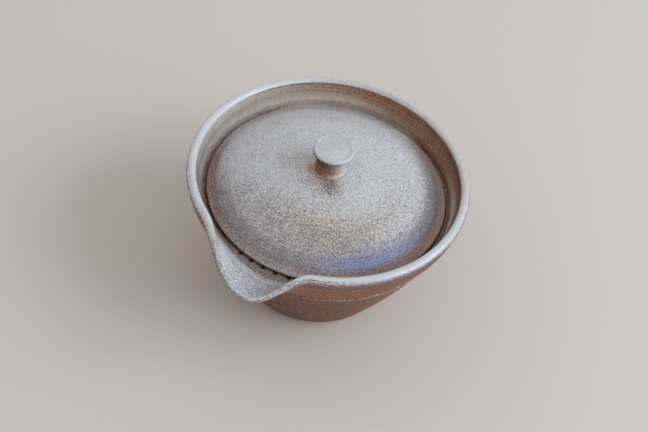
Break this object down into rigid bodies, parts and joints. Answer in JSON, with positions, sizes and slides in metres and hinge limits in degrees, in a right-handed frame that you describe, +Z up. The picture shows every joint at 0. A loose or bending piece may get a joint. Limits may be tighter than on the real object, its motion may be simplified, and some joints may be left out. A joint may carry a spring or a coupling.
{
  "type": "shiboridashi",
  "caption": "Handleless lidded tea bowl in wood-fired stoneware: inset domed lid with a knob, pulled pouring lip and straining notches cut in the ledge.",
  "frame": {"origin": "centre of the flat base, on the surface that the bowl stands on", "axes": "+Z up along the bowl's axis, -Y towards the spout, +X to the right of someone who looks at the spout"},
  "size_m": [0.1056, 0.1165, 0.0672],
  "materials": {
    "stoneware_bowl": "unglazed wood-fired stoneware, red-brown with pale ash on the rim",
    "stoneware_lid": "unglazed wood-fired stoneware, grey fly ash speckle over brown clay",
    "stoneware_knob": "unglazed wood-fired stoneware, grey ash on the top over an orange-brown neck"
  },
  "bodies": {
    "bowl": {"bowl": "stoneware_bowl"},
    "lid": {"lid": "stoneware_lid", "knob": "stoneware_knob"}
  },
  "joints": [
    {"name": "lid_lift", "type": "slide", "parent": "bowl", "child": "lid", "axis": [0, 0, 1], "range_m": [0, 0.06]}
  ]
}
